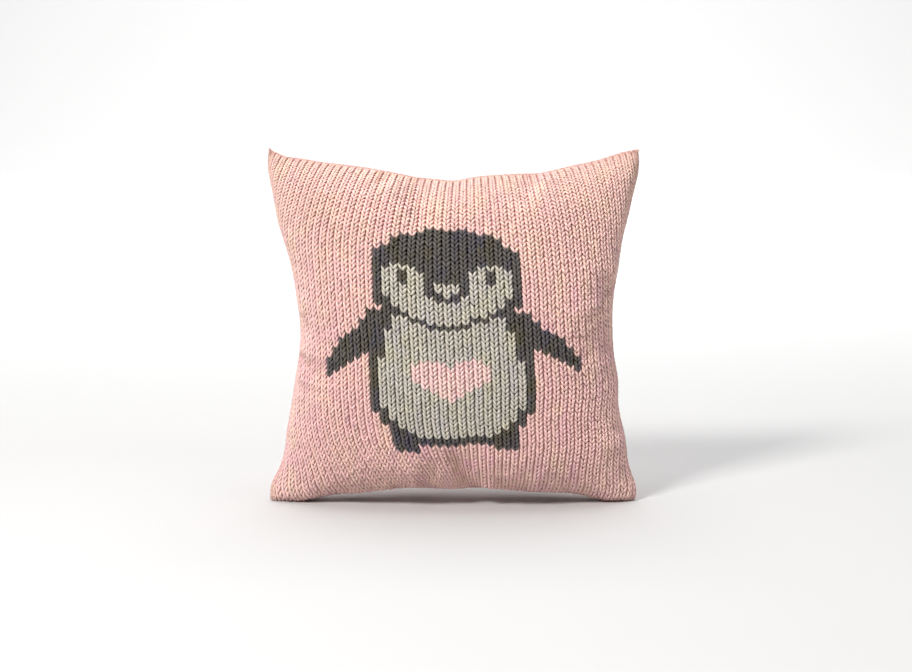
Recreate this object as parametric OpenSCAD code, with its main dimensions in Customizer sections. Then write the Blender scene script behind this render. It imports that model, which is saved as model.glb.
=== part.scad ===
// Square knitted throw cushion with a knitted-in animal motif, a hidden zip in
// the bottom seam and a removable filled insert. Millimetres, +Z up, the front
// faces -Y, and the origin is on the floor under the middle of the cushion.

/* [Cushion] */
// Width from corner to corner
cushion_w = 446; // [370:1:540]
// Height from the resting corners to the top corners
cushion_h = 428; // [350:1:510]
// Thickness at the middle of the filled cushion
cushion_t = 164; // [136:1:200]
// Thickness across the edge where the two panels are joined
edge_t = 12; // [10:0.5:15]

/* [Outline] */
// How far each side seam pulls in between its corners
side_pull = 36; // [28:1:44]
// How far the top seam sags between its corners
top_sag = 36; // [28:1:44]
// How far the bottom seam arches up between its corners
bottom_arch = 16; // [14:0.5:20]
// Share of the half width over which the bottom seam is lifted
arch_share = 0.84; // [0.75:0.01:0.9]
// How far the resting corners spread to each side of the seam
rest_half = 12; // [8:0.5:16]

/* [Knitted cover] */
// Thickness of the knitted fabric
knit_t = 5; // [4:0.1:6]
// Width of the joining seam between the two panels
seam_w = 2; // [1.6:0.1:3]

/* [Motif] */
// Sideways place of the motif's middle
motif_x = -6; // [-30:1:30]
// Height of the motif's middle above the floor
motif_z = 209; // [195:1:225]
// Size of the motif against the chart it was designed to
motif_scale = 1; // [0.8:0.01:1.2]

/* [Zip] */
// Length of the opening that the zip closes
zip_opening = 232; // [190:1:280]
// Spare tape past the stops at each end
tape_tail = 12; // [10:0.5:15]
// Tooth pitch along the chain
tooth_pitch = 2.5; // [2:0.1:3]
// Thickness of the woven tape
tape_t = 0.6; // [0.5:0.05:0.75]
// Height of the teeth across the chain
tooth_h = 1.8; // [1.5:0.1:2.2]
// Width of the closed chain
chain_w = 4.8; // [4:0.1:5.8]
// Length of the slider body
slider_len = 10; // [8:0.5:12]
// Thickness of each slider plate
plate_t = 0.9; // [0.75:0.05:1.1]
// Length of the pull tab from its hinge
pull_len = 19; // [16:0.5:23]
// Width of the pull tab
pull_w = 5.4; // [4.5:0.1:6.5]

/* [Insert] */
// Thickness of the insert's woven casing
casing_t = 1; // [0.8:0.1:1.2]
// Gap between the cover's inside and the insert
insert_gap = 0.6; // [0.5:0.05:1]
// Extra height of the insert's bottom over the zip
zip_lift = 7; // [6:0.5:9]

/* [Hidden] */

panel_cells = 24;        // grid cells along each side of a cover panel
insert_cells = 16;       // and of the insert
grid_ease = 75;          // degrees of sine that crowd the grid towards the seams
crown_power = 0.53;      // how fast the crown rises from the seams
arch_power = 3.5;        // flatness of the lifted stretch of the bottom seam
rest_share = 0.86;       // where along the half width the resting spread is widest
rest_rise = 0.2;         // share of the half height over which that spread fades
lift_power = 6;          // and of the insert's bottom over the zip
lift_share = 0.8;        // share of the half width that the insert's lift covers
clearance = 0.3;         // gap between the zip's slot and its tapes
slide_clearance = 0.15;  // gap between the slider and what runs through it
cut_over = 1;            // how far a cut runs past the face it starts from
hair = 0.01;             // overlap that keeps a cut from leaving a skin

// ---- Cushion surface -------------------------------------------------------

// Grid parameter from -1 to 1, crowded towards both ends
function eased(i, cells) = sin(grid_ease * (2 * i / cells - 1)) / sin(grid_ease);
// Share of the side pull at height v: fuller towards the top than the bottom
function side_share(v) = pow(max(0, 1 - v * v), 1.3 + 0.3 * v);
function bottom_z(u) = bottom_arch * max(0, 1 - pow(abs(u) / arch_share, arch_power));
function top_z(u) = cushion_h - top_sag * (1 - u * u);
function insert_lift(u) = max(0, 1 - pow(abs(u) / lift_share, lift_power));
function crown(u, v) = pow(max(0, (1 - u * u) * (1 - v * v)), crown_power);
// Spread of the squashed edge where the cushion rests beside its lower corners
function rest_spread(u, v) = rest_half
    * max(0, 1 - pow((abs(u) - rest_share) / (1 - rest_share), 2))
    * pow(max(0, 1 - (v + 1) / rest_rise), 2);

// Point on a cushion surface that lies `inset` inside the outer one, and whose
// edge stands `edge` off the seam plane
function cushion_point(u, v, inset, edge, lift, side) =
    let (low = bottom_z(u) + inset + lift * insert_lift(u),
         high = top_z(u) - inset,
         rim = edge + rest_spread(u, v))
    [u * (cushion_w / 2 - side_pull * side_share(v) - inset),
     side * (rim + (cushion_t / 2 - inset - rim) * crown(u, v)),
     low + (v + 1) / 2 * (high - low)];

function grid_points(cells, inset, edge, lift, side) =
    [for (j = [0:cells]) for (i = [0:cells])
        cushion_point(eased(i, cells), eased(j, cells), inset, edge, lift, side)];

// Grid indices once around the border, anticlockwise seen from the front
function border(cells) = concat(
    [for (i = [0:cells - 1]) i],
    [for (j = [0:cells - 1]) j * (cells + 1) + cells],
    [for (i = [cells:-1:1]) cells * (cells + 1) + i],
    [for (j = [cells:-1:1]) j * (cells + 1)]);

function flip(faces, yes) = yes ? [for (f = faces) [f[2], f[1], f[0]]] : faces;

// Triangles of a grid whose points start at index `base`
function grid_faces(cells, base) =
    [for (j = [0:cells - 1]) for (i = [0:cells - 1])
        let (a = base + j * (cells + 1) + i, b = a + 1, c = a + cells + 1, d = c + 1)
        each [[a, c, d], [a, d, b]]];

// Triangles between two rings given as lists of indices
function ring_faces(p, q) =
    [for (k = [0:len(p) - 1])
        let (n = (k + 1) % len(p))
        each [[p[k], q[n], q[k]], [p[k], p[n], q[n]]]];

// Fabric shell of one side: outer crown, edge wall, seam face and inner crown
module half_shell(cells, outer, inner, edge, seam, lift, side) {
    count = (cells + 1) * (cells + 1);
    rim = border(cells);
    outer_pts = grid_points(cells, outer, edge, lift, side);
    inner_pts = grid_points(cells, inner, seam, lift, side);
    seam_pts = [for (k = rim) [outer_pts[k][0], side * seam, outer_pts[k][2]]];
    inner_rim = [for (k = rim) count + k];
    seam_ring = [for (k = [0:len(rim) - 1]) 2 * count + k];
    faces = concat(
        grid_faces(cells, 0),
        ring_faces(rim, seam_ring),
        ring_faces(seam_ring, inner_rim),
        flip(grid_faces(cells, count), true));
    polyhedron(concat(outer_pts, inner_pts, seam_pts), flip(faces, side > 0));
}

// Closed body between a front crown and a back crown
module cushion_body(cells, inset, edge, lift) {
    count = (cells + 1) * (cells + 1);
    rim = border(cells);
    back_rim = [for (k = rim) count + k];
    faces = concat(
        grid_faces(cells, 0),
        ring_faces(rim, back_rim),
        flip(grid_faces(cells, count), true));
    polyhedron(concat(
        grid_points(cells, inset, edge, lift, -1),
        grid_points(cells, inset, edge, lift, 1)), faces);
}

// Flat band around the edge, `wide` across the seam plane, between two insets
module edge_band(cells, outer, inner, wide, lift) {
    rim = border(cells);
    n = len(rim);
    outer_grid = grid_points(cells, outer, 0, lift, 1);
    inner_grid = grid_points(cells, inner, 0, lift, 1);
    function ring(grid, y) = [for (k = rim) [grid[k][0], y, grid[k][2]]];
    function ids(r) = [for (k = [0:n - 1]) r * n + k];
    polyhedron(
        concat(ring(outer_grid, -wide / 2), ring(outer_grid, wide / 2),
            ring(inner_grid, wide / 2), ring(inner_grid, -wide / 2)),
        concat(ring_faces(ids(0), ids(1)), ring_faces(ids(1), ids(2)),
            ring_faces(ids(2), ids(3)), ring_faces(ids(3), ids(0))));
}

// ---- Motif chart -----------------------------------------------------------

// Round-ended stroke between two discs
module stroke(p, r, q, s) {
    hull() {
        translate(p) circle(r, $fn = 24);
        translate(q) circle(s, $fn = 24);
    }
}

// The same stroke on both sides of the middle
module stroke_pair(p, r, q, s) {
    stroke(p, r, q, s);
    stroke([-p[0], p[1]], r, [-q[0], q[1]], s);
}

// Head: broad rounded block
module head_chart() {
    hull() stroke_pair([58, 94], 33, [76, 48], 14);
}

// Body: pear shape that narrows to the neck
module body_chart() {
    hull() {
        stroke_pair([54, -60], 42, [60, 32], 10);
        stroke_pair([20, -78], 52, [54, -40], 42);
    }
}

// Flippers from the shoulders out and down to their tips
module flipper_chart() {
    stroke_pair([80, 4], 16, [114, -10], 14);
    stroke_pair([114, -10], 14, [146, -34], 7);
    stroke_pair([72, 24], 6, [80, 4], 16);
}

module feet_chart() {
    stroke_pair([60, -117], 15, [52, -112], 14);
}

// Light face: two eye patches that run together over the chin
module face_chart() {
    stroke_pair([55, 58], 26, [60, 50], 20);
    hull() {
        stroke_pair([60, 42], 14, [12, 28], 14);
    }
}

// Dark cap that comes down between the eye patches
module cap_lobe_chart() {
    hull() {
        translate([-27, 96]) square([54, 1]);
        stroke_pair([17, 62], 10, [8, 57], 9);
    }
}

module eye_chart() {
    stroke_pair([54, 68], 7, [54, 66], 7);
}

// Small light beak on the dark cap
module beak_chart() {
    hull() {
        translate([-15, 60]) square([30, 9]);
        translate([-4, 50]) square([8, 4]);
    }
}

// Light belly, below the chin line
module belly_chart() {
    hull() {
        stroke_pair([46, -60], 40, [62, 2], 12);
        stroke_pair([16, -76], 48, [46, -60], 40);
    }
    hull() stroke_pair([58, 2], 12, [58, 22], 10);
}

// Dark line under the chin
module chin_chart() {
    stroke_pair([72, 27], 2.8, [36, 16], 2.8);
    stroke_pair([36, 16], 2.8, [0, 12], 2.8);
}

// Heart: two lobes that shrink towards the shared tip
module heart_chart() {
    steps = 4;
    lobe = [27, -47, 19];
    tip = [0, -77, 3];
    function disc(k) = lobe + (tip - lobe) * k / steps;
    for (k = [0:steps - 1])
        stroke_pair([disc(k)[0], disc(k)[1]], disc(k)[2], [disc(k + 1)[0], disc(k + 1)[1]],
            disc(k + 1)[2]);
    polygon([[-lobe[0], lobe[1] + lobe[2] / 2], [lobe[0], lobe[1] + lobe[2] / 2], [tip[0], tip[1]]]);
}

module silhouette_chart() {
    head_chart();
    body_chart();
    flipper_chart();
    feet_chart();
}

module light_chart() {
    difference() {
        union() {
            face_chart();
            belly_chart();
        }
        cap_lobe_chart();
        eye_chart();
        chin_chart();
        heart_chart();
    }
    beak_chart();
}

// A chart pushed straight through the front of the cushion
module through_front() {
    translate([motif_x, 0, motif_z])
        rotate([90, 0, 0])
            linear_extrude(height = cushion_t)
                scale(motif_scale)
                    children();
}

// ---- Knitted cover ---------------------------------------------------------

module front_shell() {
    half_shell(panel_cells, 0, knit_t, edge_t / 2, seam_w / 2, 0, -1);
}

// Slot that the zip fills in the bottom seam
module zip_slot() {
    translate([-slot_len / 2, -slot_w / 2, -cut_over])
        cube([slot_len, slot_w, slot_top + cut_over]);
}

module front_ground() {
    color("lightpink") difference() {
        front_shell();
        through_front() silhouette_chart();
        zip_slot();
    }
}

module motif_dark_yarn() {
    color("dimgray") intersection() {
        front_shell();
        through_front() difference() {
            silhouette_chart();
            light_chart();
            heart_chart();
        }
    }
}

module motif_light_yarn() {
    color("lightgray") intersection() {
        front_shell();
        through_front() intersection() {
            silhouette_chart();
            light_chart();
        }
    }
}

module motif_heart_yarn() {
    color("pink") intersection() {
        front_shell();
        through_front() heart_chart();
    }
}

module back_panel() {
    color("lightpink") difference() {
        half_shell(panel_cells, 0, knit_t, edge_t / 2, seam_w / 2, 0, 1);
        zip_slot();
    }
}

module cover_seam() {
    color("palevioletred") difference() {
        edge_band(panel_cells, 0, knit_t, seam_w, 0);
        zip_slot();
    }
}

// ---- Zip -------------------------------------------------------------------

chain_rise = 1.5;                       // height of the chain over the seam's arch
zip_z = bottom_arch + chain_rise;       // height of the chain's middle
tape_len = zip_opening + 2 * tape_tail;
tooth_w = tooth_pitch * 0.4;
tooth_reach = 0.75;                     // how far a tooth passes the chain's middle
spine_y = 1.2;                          // where the teeth meet their tape
slider_play = 0.4;                      // room round the chain inside the slider
channel_w = chain_w + 2 * slider_play;
channel_h = tooth_h + 2 * slider_play;
slider_wall = 0.8;
slider_w = channel_w + 2 * slider_wall;
fold_gap = 3.2;                         // from the slider's side to the tape's folded edge
flange_y = slider_w / 2 + fold_gap;     // outer face of each tape's folded edge
flange_h = 4;                           // height of that fold above the chain
slot_w = 2 * (flange_y + clearance);
slot_len = tape_len + 2 * clearance;
hem_room = 2;                           // how far the slot clears the inside of the hem
slot_top = bottom_z(0) + knit_t + hem_room;
stop_len = 3;
slider_x = zip_opening / 2 - stop_len - slider_len / 2;   // place when closed
teeth_end = slider_x + 1;               // last tooth, under the slider
crown_len = 4.4;                        // loop that holds the pull
crown_w = 1.6;
crown_r = 1.5;
pull_pin_r = 0.5;
pull_t = 1.2;
pull_x = slider_x;                      // hinge line of the pull
pull_z = zip_z - channel_h / 2 - plate_t - pull_pin_r - slide_clearance;

// Woven tape: flat under the chain, folded up against the hem
module zip_tape(side) {
    section = [[spine_y, -tape_t / 2], [flange_y, -tape_t / 2], [flange_y, flange_h],
        [flange_y - tape_t, flange_h], [flange_y - tape_t, tape_t / 2], [spine_y, tape_t / 2]];
    color("rosybrown") rotate([90, 0, 90])
        translate([0, zip_z, -tape_len / 2])
            linear_extrude(height = tape_len)
                polygon([for (p = section) [side * p[0], p[1]]]);
}

module zip_tape_front() zip_tape(-1);
module zip_tape_back() zip_tape(1);

// Comb of teeth on one tape's edge; the other side's comb is half a pitch along
module zip_teeth(side) {
    first = -zip_opening / 2 + stop_len + tooth_pitch;
    count = floor((teeth_end - first) / tooth_pitch);
    shift = side > 0 ? tooth_pitch / 2 : 0;
    groove_w = chain_w - spine_y + hair;
    function x(k) = first + shift + k * tooth_pitch;
    outline = concat(
        [[first - tooth_w, chain_w / 2]],
        [for (k = [0:count - 1]) each [[x(k) - tooth_w / 2, spine_y], [x(k) - tooth_w / 2, -tooth_reach],
            [x(k) + tooth_w / 2, -tooth_reach], [x(k) + tooth_w / 2, spine_y]]],
        [[teeth_end, chain_w / 2]]);
    color("gainsboro") translate([0, 0, zip_z])
        difference() {
            translate([0, 0, -tooth_h / 2])
                linear_extrude(height = tooth_h)
                    polygon([for (p = outline) [p[0], side * p[1]]]);
            translate([first - tooth_pitch, side > 0 ? spine_y - hair : -chain_w, -tape_t / 2])
                cube([zip_opening, groove_w, tape_t]);
        }
}

module zip_teeth_front() zip_teeth(-1);
module zip_teeth_back() zip_teeth(1);

// Lines of thread that hold both tapes to the hems
module zip_stitching() {
    stitch_len = 3.2;
    stitch_step = 4.5;
    thread = 0.4;
    count = floor((tape_len - stitch_len) / stitch_step);
    color("mistyrose")
        for (side = [-1, 1]) for (k = [0:count])
            translate([(k - count / 2) * stitch_step - stitch_len / 2,
                    side * (flange_y - tape_t - thread / 2) - thread / 2, zip_z + flange_h / 2])
                cube([stitch_len, thread, thread]);
}

// Close stitching across both tapes past each stop
module zip_bar_tacks() {
    bar = 0.5;
    bars = 5;
    bar_step = 1.1;
    first_bar = 3.5;                    // from the end of the opening
    reach = flange_y - 1.2;             // stays off the folded edges
    color("mistyrose")
        for (end = [-1, 1]) for (k = [0:bars - 1])
            translate([end * (zip_opening / 2 + first_bar + bar_step * k) - bar / 2, -reach,
                    zip_z - tape_t / 2 - bar])
                cube([bar, 2 * reach, bar]);
}

// Two small stops, one on each tape, past the closed slider
module zip_top_stops() {
    stop_w = 1.6;
    stop_h = 0.8;
    color("silver")
        for (side = [-1, 1])
            translate([zip_opening / 2 - stop_len + slide_clearance,
                    side * (spine_y + stop_w / 2) - stop_w / 2, zip_z - tape_t / 2 - stop_h])
                cube([stop_len - slide_clearance, stop_w, stop_h]);
}

// One box that joins both tapes at the far end
module zip_bottom_stop() {
    color("silver")
        translate([-zip_opening / 2, -chain_w / 2, zip_z - tooth_h / 2])
            difference() {
                cube([stop_len, chain_w, tooth_h]);
                for (side = [0, 1])
                    translate([-cut_over, side * (chain_w / 2 + spine_y) - hair, (tooth_h - tape_t) / 2])
                        cube([stop_len + 2 * cut_over, chain_w / 2 - spine_y + 2 * hair, tape_t]);
            }
}

// Slider: two plates, slotted side walls, the wedge between the rows and the loop
module zip_slider() {
    wall_h = channel_h / 2 - tape_t / 2 - slide_clearance;
    wedge_r = 0.8;
    wedge_in = 2;                       // from the slider's mouth
    loop_top = pull_pin_r + slide_clearance;
    color("silver") translate([slider_x, 0, zip_z]) {
        for (up = [-1, 1])
            translate([-slider_len / 2, -slider_w / 2, up * (channel_h + plate_t) / 2 - plate_t / 2])
                cube([slider_len, slider_w, plate_t]);
        for (up = [-1, 1]) for (side = [-1, 1])
            translate([-slider_len / 2, side * (slider_w - slider_wall) / 2 - slider_wall / 2,
                    up * (channel_h - wall_h) / 2 - wall_h / 2])
                cube([slider_len, slider_wall, wall_h]);
        translate([slider_len / 2 - wedge_in, 0, -channel_h / 2])
            cylinder(r = wedge_r, h = channel_h, $fn = 32);
    }
    color("silver") translate([pull_x, 0, pull_z]) rotate([90, 0, 0])
        difference() {
            translate([0, 0, -crown_w / 2])
                linear_extrude(height = crown_w)
                    polygon([[-crown_len / 2, loop_top], [-crown_len / 4, -crown_r],
                        [crown_len / 4, -crown_r], [crown_len / 2, loop_top]]);
            cylinder(r = pull_pin_r + slide_clearance, h = crown_w + cut_over, center = true, $fn = 32);
        }
}

// Pull tab with its hinge pin, lying along the closed chain
module zip_pull() {
    eye_gap = crown_w + 2 * slide_clearance + 0.4;
    arm_w = (pull_w - eye_gap) / 2;
    eye_reach = 3.4;                    // clears the loop as the tab swings
    hole_r = 1.1;
    hole_in = 4;                        // from the tab's free end
    end_x = -pull_len + pull_w / 2;     // middle of the round end
    color("silver") translate([pull_x, 0, pull_z]) {
        rotate([90, 0, 0]) cylinder(r = pull_pin_r, h = pull_w, center = true, $fn = 32);
        for (side = [-1, 1])
            translate([-eye_reach, side * (pull_w - arm_w) / 2 - arm_w / 2, -pull_pin_r])
                cube([eye_reach, arm_w, 2 * pull_pin_r]);
        translate([0, 0, pull_pin_r - pull_t])
            difference() {
                union() {
                    translate([end_x, -pull_w / 2, 0]) cube([-end_x - eye_reach, pull_w, pull_t]);
                    translate([end_x, 0, 0]) cylinder(r = pull_w / 2, h = pull_t, $fn = 48);
                }
                translate([hole_in - pull_len, 0, -cut_over])
                    cylinder(r = hole_r, h = pull_t + 2 * cut_over, $fn = 32);
            }
    }
}

// ---- Insert ----------------------------------------------------------------

insert_inset = knit_t + insert_gap;
insert_edge = 0.9;          // half thickness of the insert's sewn edge
insert_seam_w = 0.6;
fill_gap = 0.2;             // between the casing's inside and the filling

module insert_half(side) {
    color("whitesmoke")
        half_shell(insert_cells, insert_inset, insert_inset + casing_t, insert_edge,
            insert_seam_w / 2, zip_lift, side);
}

module insert_front() insert_half(-1);
module insert_back() insert_half(1);

module insert_seam() {
    color("white")
        edge_band(insert_cells, insert_inset, insert_inset + casing_t, insert_seam_w, zip_lift);
}

// Short row of thread that closes the gap through which the insert was filled
module insert_closing_stitches() {
    thread = 0.5;
    span = 80;
    step = 5;
    stand_off = 0.4;        // gap under the casing's edge
    low = bottom_z(0) + insert_inset + zip_lift - thread - stand_off;
    color("lightgray")
        for (x = [-span / 2:step:span / 2])
            translate([x, -insert_edge, low])
                cube([thread, 2 * insert_edge, thread]);
}

module filling() {
    color("ivory")
        cushion_body(insert_cells, insert_inset + casing_t + fill_gap, insert_seam_w / 2 - fill_gap / 2,
            zip_lift);
}

front_ground();
motif_dark_yarn();
motif_light_yarn();
motif_heart_yarn();
back_panel();
cover_seam();
zip_tape_front();
zip_tape_back();
zip_teeth_front();
zip_teeth_back();
zip_stitching();
zip_bar_tacks();
zip_top_stops();
zip_bottom_stop();
zip_slider();
zip_pull();
insert_front();
insert_back();
insert_seam();
insert_closing_stitches();
filling();
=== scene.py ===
import math
import bmesh
import bpy
import numpy as np
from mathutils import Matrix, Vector


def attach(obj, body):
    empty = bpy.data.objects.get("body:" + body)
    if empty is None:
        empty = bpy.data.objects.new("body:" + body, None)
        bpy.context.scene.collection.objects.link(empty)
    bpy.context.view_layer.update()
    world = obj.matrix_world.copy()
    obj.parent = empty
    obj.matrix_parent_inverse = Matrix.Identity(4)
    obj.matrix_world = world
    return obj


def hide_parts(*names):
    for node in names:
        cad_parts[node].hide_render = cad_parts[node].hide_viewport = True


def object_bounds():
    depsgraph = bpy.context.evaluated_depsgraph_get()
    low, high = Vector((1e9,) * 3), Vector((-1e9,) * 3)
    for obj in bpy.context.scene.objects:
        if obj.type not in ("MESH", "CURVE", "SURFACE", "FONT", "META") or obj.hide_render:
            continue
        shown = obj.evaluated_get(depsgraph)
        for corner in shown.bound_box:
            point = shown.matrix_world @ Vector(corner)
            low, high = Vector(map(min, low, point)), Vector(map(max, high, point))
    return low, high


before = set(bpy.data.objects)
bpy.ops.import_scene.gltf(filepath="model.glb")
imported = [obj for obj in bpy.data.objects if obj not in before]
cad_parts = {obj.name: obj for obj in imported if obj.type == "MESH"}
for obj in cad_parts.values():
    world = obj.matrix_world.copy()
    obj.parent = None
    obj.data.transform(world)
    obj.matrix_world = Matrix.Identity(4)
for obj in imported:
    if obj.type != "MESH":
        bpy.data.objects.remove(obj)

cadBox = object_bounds()
lowCorner, highCorner = (np.array(corner) * 1000 for corner in cadBox)
width, depth, height = highCorner - lowCorner  # millimetres, as everything below
random = np.random.default_rng(31)


# sRGB hex to linear: c / 12.92 below 0.04045, else ((c + 0.055) / 1.055) ^ 2.4
def linear(hexCode):
    parts = [int(hexCode[i:i + 2], 16) / 255 for i in (1, 3, 5)]
    return [c / 12.92 if c <= 0.04045 else ((c + 0.055) / 1.055) ** 2.4 for c in parts] + [1.0]


# Each input of a node takes a value or the socket that feeds it
def setInputs(tree, node, inputs):
    for name, value in inputs.items():
        if isinstance(value, bpy.types.NodeSocket):
            tree.links.new(value, node.inputs[name])
        else:
            node.inputs[name].default_value = value


# One node: keywords set its properties
def addNode(tree, kind, inputs=None, **settings):
    node = tree.nodes.new(kind)
    for name, value in settings.items():
        setattr(node, name, value)
    setInputs(tree, node, inputs or {})
    return node


# A new material, its node tree, its shader and the place on the object that patterns read
def newMaterial(name):
    material = bpy.data.materials.new(name)
    material.use_nodes = True
    tree = material.node_tree
    place = addNode(tree, "ShaderNodeTexCoord").outputs["Object"]
    return material, tree, tree.nodes["Principled BSDF"], place


# Colour between two shades and a bump, some metres deep, both from one pattern
def dress(tree, shader, pattern, low, high, deep, others):
    colour = addNode(tree, "ShaderNodeMix", {0: pattern, 6: linear(low), 7: linear(high)},
                     data_type="RGBA")
    bump = addNode(tree, "ShaderNodeBump", {"Height": pattern, "Distance": deep})
    setInputs(tree, shader, {"Base Color": colour.outputs[2], "Normal": bump.outputs["Normal"], **others})


# Smooth step: 3t^2 - 2t^3 of the share of the way from a to b
def smooth(a, b, x):
    t = np.clip((x - a) / (b - a), 0, 1)
    return t * t * (3 - 2 * t)


# Mesh object from points in millimetres and quads; uvs and attributes come per corner or per point
def buildPiece(name, points, quads, material, body="cushion", uvs=None, values=None, colours=None):
    mesh = bpy.data.meshes.new(name)
    mesh.vertices.add(len(points))
    mesh.vertices.foreach_set("co", (points / 1000).astype(np.float32).ravel())
    mesh.loops.add(quads.size)
    mesh.loops.foreach_set("vertex_index", quads.astype(np.int32).ravel())
    mesh.polygons.add(len(quads))
    mesh.polygons.foreach_set("loop_start", np.arange(len(quads), dtype=np.int32) * 4)
    mesh.polygons.foreach_set("use_smooth", np.ones(len(quads), dtype=bool))
    mesh.update(calc_edges=True)
    for uvName, uv in (uvs or {}).items():
        layer = mesh.uv_layers.new(name=uvName)
        layer.data.foreach_set("uv", uv.astype(np.float32).ravel())
    for valueName, value in (values or {}).items():
        layer = mesh.attributes.new(valueName, "FLOAT", "POINT")
        layer.data.foreach_set("value", value.astype(np.float32).ravel())
    for colourName, colour in (colours or {}).items():
        layer = mesh.color_attributes.new(colourName, "FLOAT_COLOR", "CORNER")
        layer.data.foreach_set("color", colour.astype(np.float32).ravel())
    mesh.materials.append(material)
    piece = bpy.data.objects.new(name, mesh)
    bpy.context.scene.collection.objects.link(piece)
    if body:
        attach(piece, body)
    return piece


# Quads of a grid of (rows, cols) points, facing -Y for x to the right and z up
def gridQuads(rows, cols):
    i = np.arange(rows * cols).reshape(rows, cols)
    return np.stack([i[:-1, :-1], i[:-1, 1:], i[1:, 1:], i[1:, :-1]], axis=-1).reshape(-1, 4)


# Catmull-Rom surface through a grid whose first and last lines are -1 and 1
def sampleGrid(grid, u, v):
    rows, cols = grid.shape[:2]
    padded = np.pad(grid, ((1, 1), (1, 1), (0, 0)), "reflect", reflect_type="odd")
    across = (np.clip(u, -1, 1) + 1) / 2 * (cols - 1)
    up = (np.clip(v, -1, 1) + 1) / 2 * (rows - 1)
    i = np.minimum(across.astype(int), cols - 2)
    j = np.minimum(up.astype(int), rows - 2)

    def weights(t):
        return [((2 - t) * t - 1) * t / 2, ((3 * t - 5) * t * t + 2) / 2,
                ((4 - 3 * t) * t + 1) * t / 2, (t - 1) * t * t / 2]

    acrossWeights, upWeights = weights(across - i), weights(up - j)
    total = np.zeros(np.shape(u) + (grid.shape[2],))
    for a in range(4):
        for b in range(4):
            total += (upWeights[b] * acrossWeights[a])[..., None] * padded[j + b, i + a]
    return total


camera = {
    "aim": (0.003, 0.0, 0.2022),
    "distance": 3.04,
    "pitch": 10.0,  # degrees above the horizon
    "lens": 100.0,
}


# The camera stands at aim + distance (0, -cos pitch, sin pitch) and looks at the aim
def addCamera():
    data = bpy.data.cameras.new("camera")
    data.lens = camera["lens"]
    data.sensor_width = 36
    data.clip_start = 0.05
    view = bpy.data.objects.new("camera", data)
    pitch = math.radians(camera["pitch"])
    aim = Vector(camera["aim"])
    view.location = aim + camera["distance"] * Vector((0, -math.cos(pitch), math.sin(pitch)))
    view.rotation_euler = (math.pi / 2 - pitch, 0, 0)
    bpy.context.scene.collection.objects.link(view)
    bpy.context.scene.camera = view


softboxes = {
    # name: place, point aimed at, size, watts, colour
    "key": ((-1.5, -1.95, 2.45), (0, 0, 0.2), 0.7, 95.0, "#FFFDFB"),
    "fill": ((1.9, -2.0, 3.0), (0, 0, 0.2), 2.0, 16.0, "#FFFFFF"),
    "ceiling": ((0.0, 1.4, 4.2), (0.0, 1.4, 0), 5.0, 236.0, "#FFFFFF"),
    "backdrop": ((0.0, 2.2, 3.2), (0.0, 6.5, 0.6), 3.2, 138.0, "#FFFFFF"),
}
worldLight = 0.05


def addLights():
    for name, (place, aim, size, watts, colour) in softboxes.items():
        data = bpy.data.lights.new(name, "AREA")
        data.size = size
        data.energy = watts
        data.color = linear(colour)[:3]
        box = bpy.data.objects.new(name, data)
        box.location = place
        box.rotation_euler = (Vector(aim) - Vector(place)).to_track_quat("-Z", "Y").to_euler()
        bpy.context.scene.collection.objects.link(box)
    world = bpy.data.worlds.new("studio")
    world.use_nodes = True
    world.node_tree.nodes["Background"].inputs["Color"].default_value = (1, 1, 1, 1)
    world.node_tree.nodes["Background"].inputs["Strength"].default_value = worldLight
    bpy.context.scene.world = world
    bpy.context.scene.view_settings.view_transform = "Standard"


sweep = {
    "colour": "#CDCDCD",
    "front": -6000,
    "turnsAt": 3500,  # where the floor starts to turn up
    "radius": 2500,
    "top": 7000,
    "halfWidth": 9000,
}


# Matt white paper sweep: a floor that turns up into a wall along a quarter circle
def addSweep():
    paper, tree, shader, place = newMaterial("white_paper_sweep")
    grain = addNode(tree, "ShaderNodeTexNoise", {"Vector": place, "Scale": 900.0, "Detail": 3.0})
    bump = addNode(tree, "ShaderNodeBump", {"Height": grain.outputs["Fac"], "Distance": 0.0002})
    setInputs(tree, shader, {"Base Color": linear(sweep["colour"]), "Normal": bump.outputs["Normal"],
                             "Roughness": 0.9, "Specular IOR Level": 0.15})
    turn = np.linspace(0, math.pi / 2, 25)
    radius, start = sweep["radius"], sweep["turnsAt"]
    y = np.concatenate([[sweep["front"], 0], start + radius * np.sin(turn), [start + radius]])
    z = np.concatenate([[0, 0], radius - radius * np.cos(turn), [sweep["top"]]])
    x = np.array([-1.0, 1.0]) * sweep["halfWidth"]
    points = np.stack(np.broadcast_arrays(x[None, :], y[:, None], z[:, None]), axis=-1).reshape(-1, 3)
    buildPiece("sweep", points, gridQuads(len(y), 2), paper, body=None)


addCamera()
addLights()
addSweep()
print("camera, lights and sweep")


outline = {
    "sidePull": 36,  # how far the side seams pull in
    "topSag": 32.5,
    "bottomArch": 16,
    "archShare": 0.84,  # share of the half width that the arch spans
    "inset": 1.4,  # knit backing inside the outer outline
    "edgeHalf": 1.7,  # half of the gap between the two backings at the seam
    "yarnStand": 4.2,  # how far the stitches stand off their backing
    "archPower": 3.5,
    "pullPower": 1.3,
    "pullLean": 0.3,  # added to that power at the top and taken off it at the bottom
    "bottomBelow": 40,  # the seam under this height is the bottom one
    "zipHalf": 131.0,  # half length of the stretch that opens for the zip
    "zipEase": (-4, 12),  # over which the hems close again past that
    "zipEdgeHalf": 8.6,  # and how far each hem stands off there
    "restSpread": 3.5,  # spread of the edge where the corners rest
    "restRise": 0.16,  # share of the half height over which it narrows again
    "cornerShare": 0.86,  # past this share of the half width and height is a corner
    "cornerRound": 3.0,
}
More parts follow.
